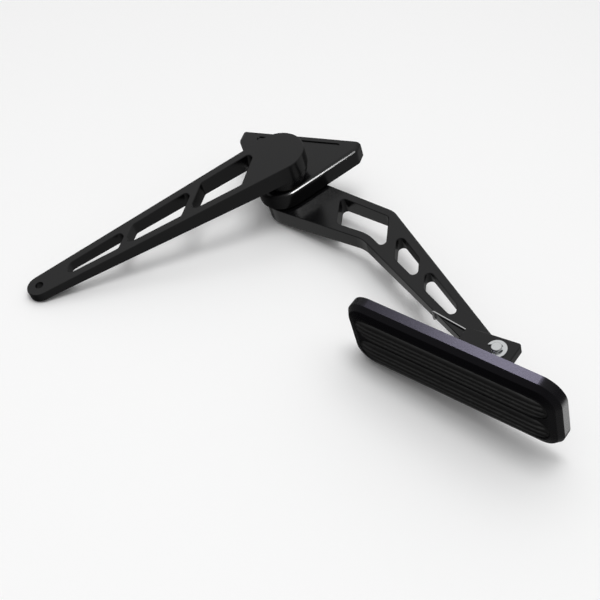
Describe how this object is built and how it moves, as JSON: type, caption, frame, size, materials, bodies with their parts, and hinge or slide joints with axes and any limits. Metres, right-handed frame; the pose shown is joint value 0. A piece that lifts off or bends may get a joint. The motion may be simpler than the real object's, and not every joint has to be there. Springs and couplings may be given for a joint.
{
  "type": "accelerator pedal",
  "caption": "Firewall-mounted throttle pedal: triangular bracket, pierced cable lever, bent pierced pedal arm and a hinged pad with ribbed rubber inserts.",
  "frame": {"origin": "point of the bracket's flat firewall face opposite the main pivot", "axes": "+Y into the firewall, +X along the face towards the pad, +Z along the main pivot from the pedal arm to the cable arm"},
  "size_m": [0.3166, 0.1778, 0.051],
  "materials": {
    "billet_black": "black anodised, fine satin",
    "pad_black": "black anodised, satin with a violet sheen",
    "spacer_black": "black anodised, turned",
    "bronze": "oiled sintered bronze",
    "shaft_steel": "ground",
    "screw_steel": "black oxide",
    "zinc_steel": "bright zinc plate",
    "spring_wire": "bright drawn",
    "rubber": "matt moulded"
  },
  "bodies": {
    "mounting": {"bracket": "billet_black", "bush_upper": "bronze", "bush_lower": "bronze"},
    "lever": {"pivot_shaft": "shaft_steel", "cable_spacer": "spacer_black", "cable_arm": "billet_black", "pedal_arm": "billet_black", "pivot_screw": "screw_steel", "pivot_washer": "zinc_steel", "pad_spring": "spring_wire"},
    "pad": {"pad_plate": "pad_black", "pad_insert_upper": "rubber", "pad_insert_lower": "rubber", "pad_lug": "billet_black", "lug_screws": "screw_steel", "hinge_pin": "zinc_steel", "clip_upper": "zinc_steel", "clip_lower": "zinc_steel"}
  },
  "joints": [
    {"name": "pedal_pivot", "type": "hinge", "parent": "mounting", "child": "lever", "pos_m": [0, -0.036, 0], "axis": [0, 0, 1], "range_deg": [0, 20]},
    {"name": "pad_hinge", "type": "hinge", "parent": "lever", "child": "pad", "pos_m": [0.15743, -0.13449, 0], "axis": [0, 0, 1], "range_deg": [-12, 0], "stiffness_Nm_per_rad": 0.2, "springref_deg": 20.05, "deforming": ["pad_spring"]}
  ]
}
